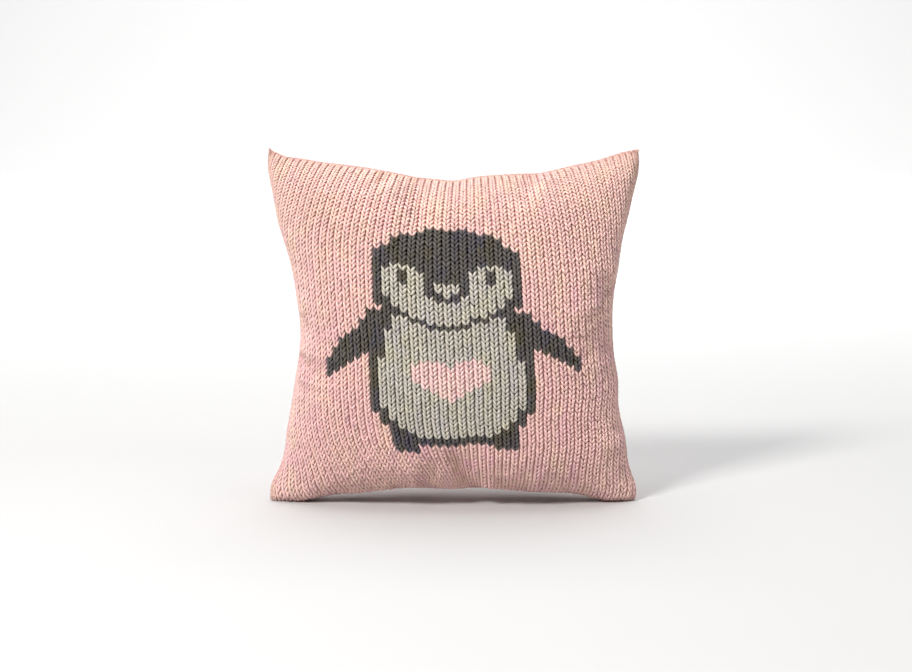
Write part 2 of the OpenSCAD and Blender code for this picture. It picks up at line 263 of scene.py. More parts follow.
# shallow waves of the top seam: place as a share of the half width, rise and spread
topWaves = ((-0.92, -4.5, 0.07), (-0.50, 3.5, 0.20), (-0.18, -2.5, 0.09), (-0.01, -5.0, 0.10),
            (0.47, -2.8, 0.11), (0.92, 4.0, 0.10))
# the same of how far each side pulls in: place as a share of the half height
leftWaves = ((0.58, -4.5, 0.17), (-0.06, 3.8, 0.20), (-0.72, 1.5, 0.08), (-0.92, -4.0, 0.07))
rightWaves = ((0.35, -3.0, 0.16), (0.62, -1.5, 0.12), (-0.15, -3.8, 0.40), (-0.31, -3.4, 0.11),
              (-0.64, -3.6, 0.14), (-0.93, -5.0, 0.10))
bottomWaves = ((-0.62, -2.5, 0.12), (0.12, 3.0, 0.08), (-0.30, 2.0, 0.12), (0.45, -2.0, 0.12))


# Sum of rise * exp(-((u - place) / spread)^2)
def waves(parts, u):
    return sum(rise * np.exp(-((u - place) / spread) ** 2) for place, rise, spread in parts)


# Half width less the pull times (1 - v^2)^(power + lean v) and less each side's own waves,
# which end at the corners as 1 - v^30
def halfWidth(u, v):
    own = np.where(u < 0, waves(leftWaves, v), waves(rightWaves, v)) * np.abs(u)
    power = outline["pullPower"] + outline["pullLean"] * v
    pull = outline["sidePull"] * np.maximum(0, 1 - v * v) ** power
    return width / 2 - pull - own * (1 - v ** 30)


# Arch times 1 - |u / share|^power, never under the floor
def bottomSeam(u):
    arch = np.maximum(0, 1 - (np.abs(u) / outline["archShare"]) ** outline["archPower"])
    return arch * (outline["bottomArch"] + waves(bottomWaves, u))


# Height less the sag times 1 - u^2, with waves that fade at the corners as 1 - u^8
def topSeam(u):
    return height - outline["topSag"] * (1 - u * u) + (1 - u ** 8) * waves(topWaves, u)


# Place in the seam plane of a point at u across and v up; the sides turn in at the upper corners
# by cornerRound * smooth(|u|) * smooth(v)
def seamPlane(u, v, inset):
    low = bottomSeam(u) + inset
    high = topSeam(u) - inset
    corner = smooth(outline["cornerShare"], 1, np.abs(u)) * smooth(outline["cornerShare"], 1, v)
    x = u * (halfWidth(u, v) - inset - outline["cornerRound"] * corner)
    z = low + (v + 1) / 2 * (high - low)
    return np.stack([x, z], axis=-1)


cloth = {
    "cells": 64,
    "crownPower": 0.53,  # of the even crown
    "matchSteps": 12,
    "matchRate": 0.8,
    "fullest": 99.5,  # percentile of the cloth's depth that counts as full
    "flatWidth": 470,  # each panel before it was filled
    "flatHeight": 446,
    "startGap": 14,
    "pressure": 9.0,
    "frames": 30,
    "tension": 22.0,
    "bending": 0.35,
    "vertexMass": 0.12,
    "smoothing": 0.35,  # share of an even crown, as the pad's fibre evens out the wrinkles
    "settle": 0.10,  # how far the filling has sunk, as a share of the half height
}
cells = cloth["cells"]
axis = np.linspace(-1, 1, cells + 1)
gridU, gridV = np.meshgrid(axis, axis)


# Two flat panels that share their border, blown up by Cloth pressure: returns front and back grids
def inflatePanels():
    count = cells + 1
    rim = (np.abs(gridU) == 1) | (np.abs(gridV) == 1)
    flat = np.stack([gridU * cloth["flatWidth"] / 2, np.zeros_like(gridU),
                     gridV * cloth["flatHeight"] / 2], axis=-1)
    lift = cloth["startGap"] / 2 * ((1 - gridU ** 2) * (1 - gridV ** 2)) ** 0.5
    front, back = flat.copy(), flat.copy()
    front[..., 1] -= lift
    back[..., 1] += lift
    backIndex = np.arange(count * count).reshape(count, count)
    backIndex[~rim] = count * count + np.arange(np.count_nonzero(~rim))
    quads = gridQuads(count, count)
    backQuads = backIndex.ravel()[quads][:, ::-1]
    points = np.concatenate([front.reshape(-1, 3), back[~rim]])
    blank = bpy.data.materials.new("cloth_blank")
    bag = buildPiece("cloth_panels", points, np.concatenate([quads, backQuads]), blank, body=None)
    physics = bag.modifiers.new("cloth", "CLOTH")
    settings = physics.settings
    settings.quality = 5
    settings.mass = cloth["vertexMass"]
    settings.air_damping = 3
    settings.tension_stiffness = settings.compression_stiffness = cloth["tension"]
    settings.shear_stiffness = cloth["tension"] / 3
    settings.bending_stiffness = cloth["bending"]
    settings.use_pressure = True
    settings.uniform_pressure_force = cloth["pressure"]
    settings.effector_weights.gravity = 0
    physics.collision_settings.use_collision = False
    physics.point_cache.frame_start = 1
    physics.point_cache.frame_end = cloth["frames"] + 1
    for frameNumber in range(1, cloth["frames"] + 1):
        bpy.context.scene.frame_set(frameNumber)
    solved = bag.evaluated_get(bpy.context.evaluated_depsgraph_get()).data
    blown = np.empty(len(points) * 3, dtype=np.float32)
    solved.vertices.foreach_get("co", blown)
    blown = blown.reshape(-1, 3).astype(float) * 1000
    mesh = bag.data
    bpy.data.objects.remove(bag)
    bpy.data.meshes.remove(mesh)
    bpy.data.materials.remove(blank)
    bpy.context.scene.frame_set(1)
    return blown[:count * count].reshape(count, count, 3), blown[backIndex]


# Coons patch: what the border values of a grid give inside it
def coons(values):
    a, b = ((gridU + 1) / 2)[..., None], ((gridV + 1) / 2)[..., None]
    sides = (1 - b) * values[:1] + b * values[-1:] + (1 - a) * values[:, :1] + a * values[:, -1:]
    corners = ((1 - a) * (1 - b) * values[0, 0] + a * (1 - b) * values[0, -1]
               + (1 - a) * b * values[-1, 0] + a * b * values[-1, -1])
    return sides - corners


# How full the cushion is over the seam plane, from 0 at the seam to about 1 at its middle:
# (1 - smoothing) cloth depth / full depth + smoothing ((1 - u^2) (1 - settled v^2))^power, where
# settled v = v + settle (1 - v^2) lets the fill down
def fullness():
    settled = gridV + cloth["settle"] * (1 - gridV ** 2)
    crown = ((1 - gridU ** 2) * (1 - settled ** 2)) ** cloth["crownPower"]
    shares = []
    target = seamPlane(gridU, gridV, 0)
    for panel in inflatePanels():
        flat = panel[..., [0, 2]] - panel[..., [0, 2]].mean(axis=(0, 1)) + target.mean(axis=(0, 1))
        fitted = flat + coons(target - flat)
        u, v = gridU.copy(), gridV.copy()
        for _ in range(cloth["matchSteps"]):  # the place whose fitted point lies over each target
            gap = target - sampleGrid(fitted, u, v)
            u = np.clip(u + cloth["matchRate"] * gap[..., 0] / (width / 2), -1, 1)
            v = np.clip(v + cloth["matchRate"] * gap[..., 1] / (height / 2), -1, 1)
        share = np.abs(sampleGrid(panel[..., 1:2], u, v + cloth["settle"] * (1 - v * v))[..., 0])
        share[(np.abs(gridU) == 1) | (np.abs(gridV) == 1)] = 0
        print("cloth crown", round(float(share.max()), 1), "mm")
        shares.append((1 - cloth["smoothing"]) * share / np.percentile(share, cloth["fullest"])
                      + cloth["smoothing"] * crown)
    return shares


pinch = {
    # fold at the bottom middle that gathers the wales towards it
    "footX": 27.0,
    "lean": -0.34,  # millimetres across for each millimetre up
    "top": 84.0,
    "gatherLeft": 36.0,
    "gatherRight": 12.0,
    "gatherWidth": 50.0,
    "reach": 235.0,
    "foldDepth": 0.22,
    "foldWidth": 17.0,
    "fadePower": 1.1,
    "foldStarts": (4, 26),  # heights between which the fold deepens, and then fades
    "foldEnds": (50, 92),
}


# Moves points towards the fold by gather * tanh(d / width) * (1 - |d| / reach), fading upwards
def gather(points):
    x, y, z = (points[..., k] for k in range(3))
    d = x - (pinch["footX"] + pinch["lean"] * z)
    fade = np.clip(1 - z / pinch["top"], 0, 1) ** pinch["fadePower"]
    pull = np.where(d < 0, pinch["gatherLeft"], pinch["gatherRight"])
    near = np.clip(1 - np.abs(d) / pinch["reach"], 0, 1)
    x = x - pull * np.tanh(d / pinch["gatherWidth"]) * near * fade
    crease = np.exp(-(d / pinch["foldWidth"]) ** 2)
    crease = crease * smooth(*pinch["foldStarts"], z) * (1 - smooth(*pinch["foldEnds"], z))
    y = y * (1 - pinch["foldDepth"] * crease)
    return np.stack([x, y, z], axis=-1)


# Surface of one backing: side is -1 for the front and 1 for the back
def backingGrid(share, side, inset=outline["inset"], stand=outline["yarnStand"]):
    plane = seamPlane(gridU, gridV, inset)
    nearBottom = np.clip(1 - (gridV + 1) / outline["restRise"], 0, 1) ** 2
    easeFrom, easeTo = (outline["zipHalf"] + ease for ease in outline["zipEase"])
    zipShare = 1 - smooth(easeFrom, easeTo, np.abs(plane[..., 0]))
    cornerShare = outline["cornerShare"]
    corner = np.maximum(0, 1 - ((np.abs(gridU) - cornerShare) / (1 - cornerShare)) ** 2)
    edge = (outline["edgeHalf"] + (outline["zipEdgeHalf"] - outline["edgeHalf"]) * zipShare * nearBottom
            + outline["restSpread"] * corner * nearBottom)
    y = edge + (depth / 2 - stand - edge) * share
    points = gather(np.stack([plane[..., 0], side * y, plane[..., 1]], axis=-1))
    # the seams stay where they were sewn in depth and the lowest edge lies flat on the floor
    points[..., 2] = np.maximum(points[..., 2], inset * 0.6)
    return points


# Outward unit normals of a grid: the cross product of its two differences
def gridNormals(points, side):
    across = np.gradient(points, axis=1)
    up = np.gradient(points, axis=0)
    normal = np.cross(across, up) * -side
    return normal / np.linalg.norm(normal, axis=-1, keepdims=True)


frontShare, backShare = fullness()
faces = {}
for faceName, share, side in (("front", frontShare, -1), ("back", backShare, 1)):
    surface = backingGrid(share, side)
    faces[faceName] = {"points": surface, "normals": gridNormals(surface, side), "side": side}
print("cover shape ready")


gauge = {
    "wales": 64,
    "courses": 80,
    "middleSpread": 1.81,  # how much wider the wales run at mid height than evenly over the panel
    "topSpread": 1.18,
    "bottomSpread": 1.24,
    "sideCrowding": 0.66,
    "courseCrowding": 0.17,
    "courseLift": 0.102,
    "spreadPower": 2.1,
    "drift": 0.055,  # how far the columns lean to the left towards the top
    "footShift": 0.085,  # and to the right over the lowest quarter
    "selvedge": 0.94,  # past this share of the panel the wales are squeezed into the seam
    "endRows": 0.965,  # and past this share of it the courses
    "hidden": 1.10,  # a stitch whose middle is past this place is left out
}
middleWale = 31  # the motif's middle column


# Past `start` a value closes in on 1: start + (1 - start) tanh((x - start) / (1 - start))
def squeeze(x, start):
    past = np.maximum(0, np.abs(x) - start)
    room = 1 - start
    return np.sign(x) * (np.minimum(np.abs(x), start) + room * np.tanh(past / room))


# How much the wales spread and crowd at a height v: both fade as |v|^power
def waleSpread(v):
    rise = np.abs(np.clip(v, -1, 1)) ** gauge["spreadPower"]
    seamSpread = np.where(v > 0, gauge["topSpread"], gauge["bottomSpread"])
    g = gauge["middleSpread"] + (seamSpread - gauge["middleSpread"]) * rise
    return g, gauge["sideCrowding"] * (1 - rise)


# Lean of the columns: drift (0.07 - v) (1 - v^2) + footShift ((-v - 0.45) / 0.55)^1.5
def waleDrift(v):
    foot = np.clip((-v - 0.45) / 0.55, 0, 1) ** 1.5
    return gauge["drift"] * (0.07 - v) * (1 - v * v) + gauge["footShift"] * foot


# v = q (1 + k (1 - q^2)) + lift (1 - q^6) up, and u = g s - h s^3 + the lean across
def chartToPanel(wale, course):
    s = 2 * wale / gauge["wales"] - 1
    q = 2 * course / gauge["courses"] - 1
    v = q * (1 + gauge["courseCrowding"] * (1 - q * q)) + gauge["courseLift"] * (1 - q ** 6)
    g, h = waleSpread(v)
    return g * s - h * s ** 3 + waleDrift(v), v


# The wale and course at a panel place, by Newton steps on the two formulas above
def panelToChart(u, v):
    k, lift = gauge["courseCrowding"], gauge["courseLift"]
    q = v.copy()
    for _ in range(6):
        over = q * (1 + k * (1 - q * q)) + lift * (1 - q ** 6) - v
        q -= over / (1 + k - 3 * k * q * q - 6 * lift * q ** 5)
    g, h = waleSpread(v)
    straight = u - waleDrift(v)
    s = straight / g
    for _ in range(6):
        s -= (g * s - h * s ** 3 - straight) / (g - 3 * h * s * s)
    return (s + 1) * gauge["wales"] / 2, (q + 1) * gauge["courses"] / 2


# Yarn of each stitch: 0 ground, 1 dark, 2 light, 3 heart. Curves are in wales from the middle
# column and courses up from the bottom seam, so that outlines are whole stitches wide.
def yarnChart(wale, course):
    c = wale - middleWale
    a = np.abs(c)
    dark = np.zeros(np.shape(c), dtype=bool)
    # head, with rounded upper corners
    headTop = 61.2 - 0.30 * np.maximum(0, a - 1.5) ** 1.55
    dark |= (a <= 8) & (course <= headTop) & (course >= np.where(a == 8, 44, 39))
    # body, pear shaped: its lower edge climbs with the fourth power
    dark |= (a <= 9) & (course <= 42) & (course >= 12.4 + 0.0013 * a ** 4)
    # flippers slope down from the shoulders; the left one narrows less towards its tip
    upper = 41.6 - 1.35 * (a - 9) - (a == 15)
    lower = np.where(c < 0, 33.6, 34.2) - np.where(c < 0, 1.1, 0.95) * (a - 10)
    dark |= (a >= 9) & (a <= 15) & (course <= upper) & (course >= lower)
    # feet
    dark |= (c >= -7) & (c <= -5) & (course >= 11) & (course < 17)
    dark |= (c >= 5) & (c <= 7) & (course >= 12) & (course < 17)
    # chin line, one course thick, lifts to both sides
    chin = np.round(40 + 0.065 * c * c)
    faceLow = np.maximum(chin + 1, np.round(41 + 0.0021 * a ** 4))
    faceTop = np.where(a <= 1, 45, np.where(a == 2, 46, np.floor(52.6 - 0.35 * (a - 5) ** 2)))
    light = (a <= 7) & (course >= faceLow) & (course <= faceTop)
    light &= ~((a == 5) & (course >= 49) & (course <= 51))
    # beak
    light |= ((a <= 1) & (course >= 48) & (course <= 49)) | ((a == 0) & (course == 47))
    # belly
    bellyTop = np.where(a == 8, 32, np.where(a == 7, 38, np.where(a <= 6, chin - 1, 0)))
    light |= (a <= 8) & (course >= np.round(15 + 0.00175 * a ** 4)) & (course <= bellyTop)
    heart = (a <= 4) & (course >= 24 + a) & (course <= np.round(32.4 - 0.4 * (a - 2) ** 2))
    return np.where(heart, 3, np.where(light, 2, np.where(dark, 1, 0)))


yarnColours = {
    # soft: the yarn's own colour; warm and cool: heather flecks in it, and warm is also painted light
    # towards the top; deep: painted shade where the strands dive, down their sides and in the gaps between
    # stitches
    "ground": {"soft": "#FED5CF", "warm": "#FFDDCB", "cool": "#FCCDD3", "deep": "#E0ABA2"},
    "dark": {"soft": "#6C6764", "warm": "#66604E", "cool": "#625E6D", "deep": "#120F08"},
    "light": {"soft": "#DAD3C7", "warm": "#DCD5BF", "cool": "#D4CECF", "deep": "#4E4836"},
    "heart": {"soft": "#FFDEDB", "warm": "#FFE3D8", "cool": "#FFD6DA", "deep": "#E2ADA6"},
}
yarnFinish = {
    "fleckMm": 30.0,  # length of a heather fleck
    "plies": 3.0,
    "plyTurnMm": 6.5,
    "fibreMm": 0.9,  # real fibres are finer than would show
    "fleckEdge": {"From Min": 0.48, "From Max": 0.66},  # softness of a fleck's edge in the noise
    "topLightHeights": {"From Min": 0.20, "From Max": 0.42},  # metres over which the yarn turns warmer towards the top, partly painted light from above
    "tintRange": {"To Min": 0.91, "To Max": 1.09},  # brightness from stitch to stitch
}


# Brushed wool-acrylic yarn: matt, with a pale halo of fibres (sheen), heather flecks a few
# stitches long, painted warm light towards the top, painted shade where the strands dive and
# down their sides, and the twist of its plies as a fine bump
def yarnMaterial(name, colours, topLightPaint=0.0):
    material, tree, shader, place = newMaterial(name)
    shares = []
    for location, squash in (((0, 0, 0), (1.6, 1.0, 0.8)), ((3.1, 1.7, 0.4), (1.8, 1.0, 0.7))):
        spot = addNode(tree, "ShaderNodeMapping", {"Vector": place, "Location": location, "Scale": squash})
        noise = addNode(tree, "ShaderNodeTexNoise", {"Vector": spot.outputs["Vector"], "Detail": 5.0,
                                                     "Scale": 1000 / yarnFinish["fleckMm"],
                                                     "Roughness": 0.7})
        shares.append(addNode(tree, "ShaderNodeMapRange", {"Value": noise.outputs["Fac"],
                                                           **yarnFinish["fleckEdge"]}))
    warmShare, coolShare = shares
    # Towards the top the pink turns warmer and paler, partly the yarn's own heather and partly painted
    # light from above
    heightUp = addNode(tree, "ShaderNodeSeparateXYZ", {"Vector": place}).outputs["Z"]
    paintedTopLight = addNode(tree, "ShaderNodeMapRange", {"Value": heightUp, "To Max": topLightPaint,
                                                    **yarnFinish["topLightHeights"]})
    fleckAndTopLight = addNode(tree, "ShaderNodeMath", {0: warmShare.outputs["Result"],
                                               1: paintedTopLight.outputs["Result"]},
                      operation="ADD", use_clamp=True)
    cooled = addNode(tree, "ShaderNodeMix", {0: coolShare.outputs["Result"], 6: linear(colours["soft"]),
                                             7: linear(colours["cool"])}, data_type="RGBA")
    fleckedAndTopLit = addNode(tree, "ShaderNodeMix", {0: fleckAndTopLight.outputs["Value"], 6: cooled.outputs[2],
                                             7: linear(colours["warm"])}, data_type="RGBA")
    tint = addNode(tree, "ShaderNodeAttribute", attribute_name="tint")
    brightness = addNode(tree, "ShaderNodeMapRange", {"Value": tint.outputs["Fac"],
                                                      **yarnFinish["tintRange"]})
    varied = addNode(tree, "ShaderNodeHueSaturation", {"Color": fleckedAndTopLit.outputs[2],
                                                       "Value": brightness.outputs["Result"]})
    # The attribute below mixes in the deep colour: painted shade on each strand's sides and where it dives
    # behind the next row
    paintedShade = addNode(tree, "ShaderNodeAttribute", attribute_name="paintedShade")
    shown = addNode(tree, "ShaderNodeMix", {0: paintedShade.outputs["Fac"], 6: linear(colours["deep"]),
                                            7: varied.outputs["Color"]}, data_type="RGBA")
    strand = addNode(tree, "ShaderNodeUVMap", uv_map="Strand")
    along = addNode(tree, "ShaderNodeSeparateXYZ", {"Vector": strand.outputs["UV"]})
    fullTurn = 2 * math.pi
    turns = addNode(tree, "ShaderNodeMath", {0: along.outputs["X"],
                                             1: fullTurn / yarnFinish["plyTurnMm"]}, operation="MULTIPLY")
    phase = addNode(tree, "ShaderNodeMath", {0: along.outputs["Y"], 1: fullTurn * yarnFinish["plies"],
                                             2: turns.outputs["Value"]}, operation="MULTIPLY_ADD")
    twist = addNode(tree, "ShaderNodeMath", {0: phase.outputs["Value"]}, operation="SINE")
    fibres = addNode(tree, "ShaderNodeTexNoise", {"Vector": place, "Scale": 1000 / yarnFinish["fibreMm"],
                                                  "Detail": 3.0, "Roughness": 0.6})
    surface = addNode(tree, "ShaderNodeMath", {0: twist.outputs["Value"], 1: 0.35,
                                               2: fibres.outputs["Fac"]}, operation="MULTIPLY_ADD")
    bump = addNode(tree, "ShaderNodeBump", {"Height": surface.outputs["Value"], "Strength": 0.7,
                                            "Distance": 0.0006})
    setInputs(tree, shader, {"Base Color": shown.outputs[2], "Normal": bump.outputs["Normal"],
                             "Roughness": 0.88, "Specular IOR Level": 0.2, "Sheen Weight": 0.25,
                             "Sheen Roughness": 0.45, "Sheen Tint": linear(colours["soft"])})
    return material


yarns = [yarnMaterial("pink_heather_yarn", yarnColours["ground"], topLightPaint=0.45),
         yarnMaterial("charcoal_heather_yarn", yarnColours["dark"]),
         yarnMaterial("oatmeal_grey_yarn", yarnColours["light"]),
         yarnMaterial("pale_rose_yarn", yarnColours["heart"])]


stitch = {
    "rings": 6,
    "sides": 6,
    "foot": 0.05,  # wales from the wale's middle to a leg's lower end
    "head": 0.45,  # and to its upper end
    "length": 1.62,  # courses that a leg spans
    "radius": 0.18,  # wales
    "taper": (0.38, 0.86, 1.0, 0.98, 0.82, 0.42),
    "rise": 3.1,  # millimetres that a leg stands up where it is highest
    "highest": 0.3,  # share of its length where that is
    "dive": 2.3,  # radians that it turns on its way behind the next row
    "sink": 0.5,  # millimetres that it sits in the backing
    "bulk": 1.5,  # half thickness of the yarn off the backing
    "edgeFlat": 0.5,  # how much flatter the stitches lie at the seams
    "flatFrom": 0.72,  # share of the panel past which they start to
    # The next three paint shade into the yarn's colour: how much light its sides keep, and how much darker
    # the end that dives behind the next row is painted, and from where along it
    "sideLightKept": 0.12,  # light that reaches the yarn's sides, from 0 to 1
    "diveShade": 0.55,  # how much darker the end is that dives
    "diveShadeFrom": 0.62,
    # random spread of each leg
    "headUneven": 0.018,
    "acrossUneven": 0.012,
    "upUneven": 0.05,
    "liftUneven": 0.12,
    "thickUneven": 0.05,
    "tintUneven": 0.2,
    "legTint": 0.08,
}
waleMm = width / gauge["wales"]
courseMm = (height - outline["topSag"] - outline["bottomArch"]) / gauge["courses"]


# Tube corners of a leg: quads along the strand and two to close each end
def legQuads(rings, sides):
    ring = np.arange(sides)
    nextOne = (ring + 1) % sides
    base = np.arange(rings - 1)[:, None] * sides
    wall = np.stack([base + ring, base + sides + ring, base + sides + nextOne, base + nextOne], axis=-1)
    last = (rings - 1) * sides
    ends = [[0, 1, 2, 3], [0, 3, 4, 5], [last + 3, last + 2, last + 1, last],
            [last + 5, last + 4, last + 3, last]]
    return np.concatenate([wall.reshape(-1, 4), ends])


# Strand map (millimetres along, share around) and flat map (one box for each leg) of those quads
def legMaps(rings, sides):
    t = np.linspace(0, 1, rings)
    ring = np.arange(sides)
    around = np.stack([ring, ring, ring + 1, ring + 1], axis=-1)[None] / sides
    up = np.stack([t[:-1], t[1:], t[1:], t[:-1]], axis=-1)[:, None]
    around, up = np.broadcast_arrays(around, up)
    wall = np.stack([up, around], axis=-1).reshape(-1, 4, 2)
    angle = 2 * math.pi * np.array([[0, 1, 2, 3], [0, 3, 4, 5], [3, 2, 1, 0], [5, 4, 3, 0]]) / sides
    middle = np.array([0.06, 0.06, 0.94, 0.94])[:, None]
    endBox = np.stack([0.5 + 0.2 * np.cos(angle), middle + 0.05 * np.sin(angle)], axis=-1)
    wallBox = np.stack([0.05 + 0.9 * wall[..., 1], 0.13 + 0.74 * wall[..., 0]], axis=-1)
    endStrand = np.stack([np.broadcast_to(np.array([0, 0, 1, 1])[:, None], angle.shape),
                          angle / (2 * math.pi)], axis=-1)
    legLength = stitch["length"] * courseMm
    strand = np.concatenate([wall, endStrand]) * (legLength, 1)
    return strand, np.concatenate([wallBox, endBox])


# Tubes of yarn as one piece: spots are the low corners of the tubes' boxes on the flat map
def yarnPiece(name, points, yarn, spots, boxSize, paintedShade, tint, flip=False):
    rings, sides = points.shape[-3:-1]
    count = points.size // (3 * rings * sides)
    turn = slice(None, None, -1 if flip else 1)
    quads = np.arange(count)[:, None, None] * rings * sides + legQuads(rings, sides)[:, turn]
    strand, box = (part[:, turn] for part in legMaps(rings, sides))
    flat = spots.reshape(-1, 1, 1, 2) + box * boxSize
    return buildPiece(
        name, points.reshape(-1, 3), quads.reshape(-1, 4), yarns[yarn],
        uvs={"Strand": np.broadcast_to(strand, (count,) + strand.shape).reshape(-1, 2),
             "OFBake": flat.reshape(-1, 2)},
        values={"paintedShade": paintedShade.ravel(), "tint": np.broadcast_to(tint, paintedShade.shape).ravel()})


# Leg centre: across = side (foot + (head - foot) t), up = length (t - 1/2), height =
# rise cos(dive (t - highest)) - sink, so that its upper end goes behind the next row's feet;
# round it a ring of radius * taper, flattened to the bulk
def knitPiece(name, faceName, yarn, wales, courses, replaced):
    face = faces[faceName]
    count, rings, sides = len(wales), stitch["rings"], stitch["sides"]
    t = np.linspace(0, 1, rings)
    side = np.array([-1.0, 1.0])[None, :, None]
    jitter = random.normal(0, 1, (count, 2, 4))
    spread = t * (stitch["head"] - stitch["foot"])
    across = side * (stitch["foot"] + spread + stitch["headUneven"] * jitter[..., 0:1] * t)
    across = across + stitch["acrossUneven"] * jitter[..., 1:2]
    up = stitch["length"] * (t - 0.5) + stitch["upUneven"] * jitter[..., 2:3]
    lift = stitch["rise"] * np.cos(stitch["dive"] * (t - stitch["highest"])) - stitch["sink"]
    lift = lift + stitch["liftUneven"] * jitter[..., 3:4]
    runX = np.gradient(across * waleMm, axis=-1)
    runY = np.gradient(up * courseMm, axis=-1)
    run = np.hypot(runX, runY)
    taper = np.array(stitch["taper"]) * (1 + stitch["thickUneven"] * jitter[..., 3:4])
    angle = 2 * math.pi * np.arange(sides) / sides
    offset = stitch["radius"] * waleMm * taper[..., None] * np.cos(angle)
    wale = wales[:, None, None, None] + 0.5 + across[..., None]
    wale = wale + offset * (runY / run)[..., None] / waleMm
    course = courses[:, None, None, None] + 0.5 + up[..., None]
    course = course - offset * (runX / run)[..., None] / courseMm
    stand = lift[..., None] + stitch["bulk"] * taper[..., None] * np.sin(angle)
    u, v = chartToPanel(wale, course)
    nearEdge = smooth(stitch["flatFrom"], 1.0, np.maximum(np.abs(u), np.abs(v)))
    stand = stand * (1 - stitch["edgeFlat"] * nearEdge)
    u, v = squeeze(u, gauge["selvedge"]), squeeze(v, gauge["endRows"])
    both = sampleGrid(np.concatenate([face["points"], face["normals"]], axis=-1), u, v)
    normal = both[..., 3:] / np.linalg.norm(both[..., 3:], axis=-1, keepdims=True)
    points = both[..., :3] + normal * stand[..., None]
    points[..., 2] = np.maximum(points[..., 2], 0)
    low = np.array([wales.min(), courses.min()])
    span = np.array([wales.max(), courses.max()]) - low + 1
    spots = np.stack([(wales[:, None] - low[0] + np.array([0, 0.5])) / span[0],
                      np.broadcast_to((courses[:, None] - low[1]) / span[1], (count, 2))], axis=-1)
    # Painted shade: the deep colour creeps over each tube's sides and over its upper end, which dives
    # behind the next row
    paintedSideShade = stitch["sideLightKept"] + (1 - stitch["sideLightKept"]) * smooth(-0.7, 0.75, np.sin(angle))
    paintedDiveShade = 1 - stitch["diveShade"] * smooth(stitch["diveShadeFrom"], 1, t)
    paintedShade = np.broadcast_to(paintedSideShade * paintedDiveShade[:, None], stand.shape)
    tint = 0.5 + stitch["tintUneven"] * random.normal(0, 1, (count, 1, 1, 1))
    tint = np.clip(tint + stitch["legTint"] * jitter[..., None, 0:1], 0, 1)
    piece = yarnPiece(name, points, yarn, spots, np.array([0.5, 1]) / span, paintedShade, tint,
                      flip=face["side"] > 0)
    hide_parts(replaced)


# The stitches of a panel, with a row more at the bottom and a few past the sides, which are
# squeezed into the seams
def panelStitches():
    wale, course = np.meshgrid(np.arange(gauge["wales"]), np.arange(-1, gauge["courses"]))
    wale, course = wale.ravel(), course.ravel()
    u = chartToPanel(wale + 0.5, course + 0.5)[0]
    inside = np.abs(u) < gauge["hidden"]
    return wale[inside], course[inside]


stitchWales, stitchCourses = panelStitches()
stitchYarn = yarnChart(stitchWales, stitchCourses)
bands = (("lower", -1, 20), ("belly", 20, 40), ("chest", 40, 60), ("upper", 60, 80))
for bandName, first, last in bands:
    chosen = (stitchYarn == 0) & (stitchCourses >= first) & (stitchCourses < last)
    knitPiece("front_ground_" + bandName, "front", 0, stitchWales[chosen], stitchCourses[chosen],
              "front_ground")
for motifName, yarn in (("motif_dark", 1), ("motif_light", 2), ("motif_heart", 3)):
    chosen = stitchYarn == yarn
    knitPiece(motifName + "_stitches", "front", yarn, stitchWales[chosen], stitchCourses[chosen],
              motifName + "_yarn")
for bandName, first, last in bands:
    chosen = (stitchCourses >= first) & (stitchCourses < last)
    knitPiece("back_panel_" + bandName, "back", 0, stitchWales[chosen], stitchCourses[chosen],
              "back_panel")
print("stitches:", len(stitchWales) * 2)


backing = {
    "across": 112,
    "up": 120,
    "channelTop": 24.6,
    "channelHalf": 7.5,
    "seamTuck": 1.0,
    "seamColour": "#DDB0A6",
}


# Backing under the stitches in each yarn's deep colour, painted shade in the gaps between the stitches:
# matt, with a fine loop grain
def backingMaterial():
    material, tree, shader, place = newMaterial("knit_backing_painted_shade")
    colour = addNode(tree, "ShaderNodeAttribute", attribute_name="backing")
    loops = addNode(tree, "ShaderNodeTexNoise", {"Vector": place, "Scale": 420.0, "Detail": 3.0})
    shade = addNode(tree, "ShaderNodeMapRange", {"Value": loops.outputs["Fac"], "To Min": 0.7,
                                                 "To Max": 1.2})
    grained = addNode(tree, "ShaderNodeHueSaturation", {"Color": colour.outputs["Color"],
                                                        "Value": shade.outputs["Result"]})
    bump = addNode(tree, "ShaderNodeBump", {"Height": loops.outputs["Fac"], "Distance": 0.0008})
    setInputs(tree, shader, {"Base Color": grained.outputs["Color"], "Normal": bump.outputs["Normal"],
                             "Roughness": 0.95, "Specular IOR Level": 0.1, "Sheen Weight": 0.1})
    return material


# Grid indices once round the border, anticlockwise from the front
def borderLoop(rows, cols):
    i = np.arange(rows * cols).reshape(rows, cols)
    return np.concatenate([i[0, :-1], i[:-1, -1], i[-1, :0:-1], i[:0:-1, 0]])


# Quads between closed loops of point indices, each loop the next one's outer neighbour
def loopQuads(loops):
    parts = []
    for a, b in zip(loops[:-1], loops[1:]):
        parts.append(np.stack([a, b, np.roll(b, -1), np.roll(a, -1)], axis=-1))
    return np.concatenate(parts)


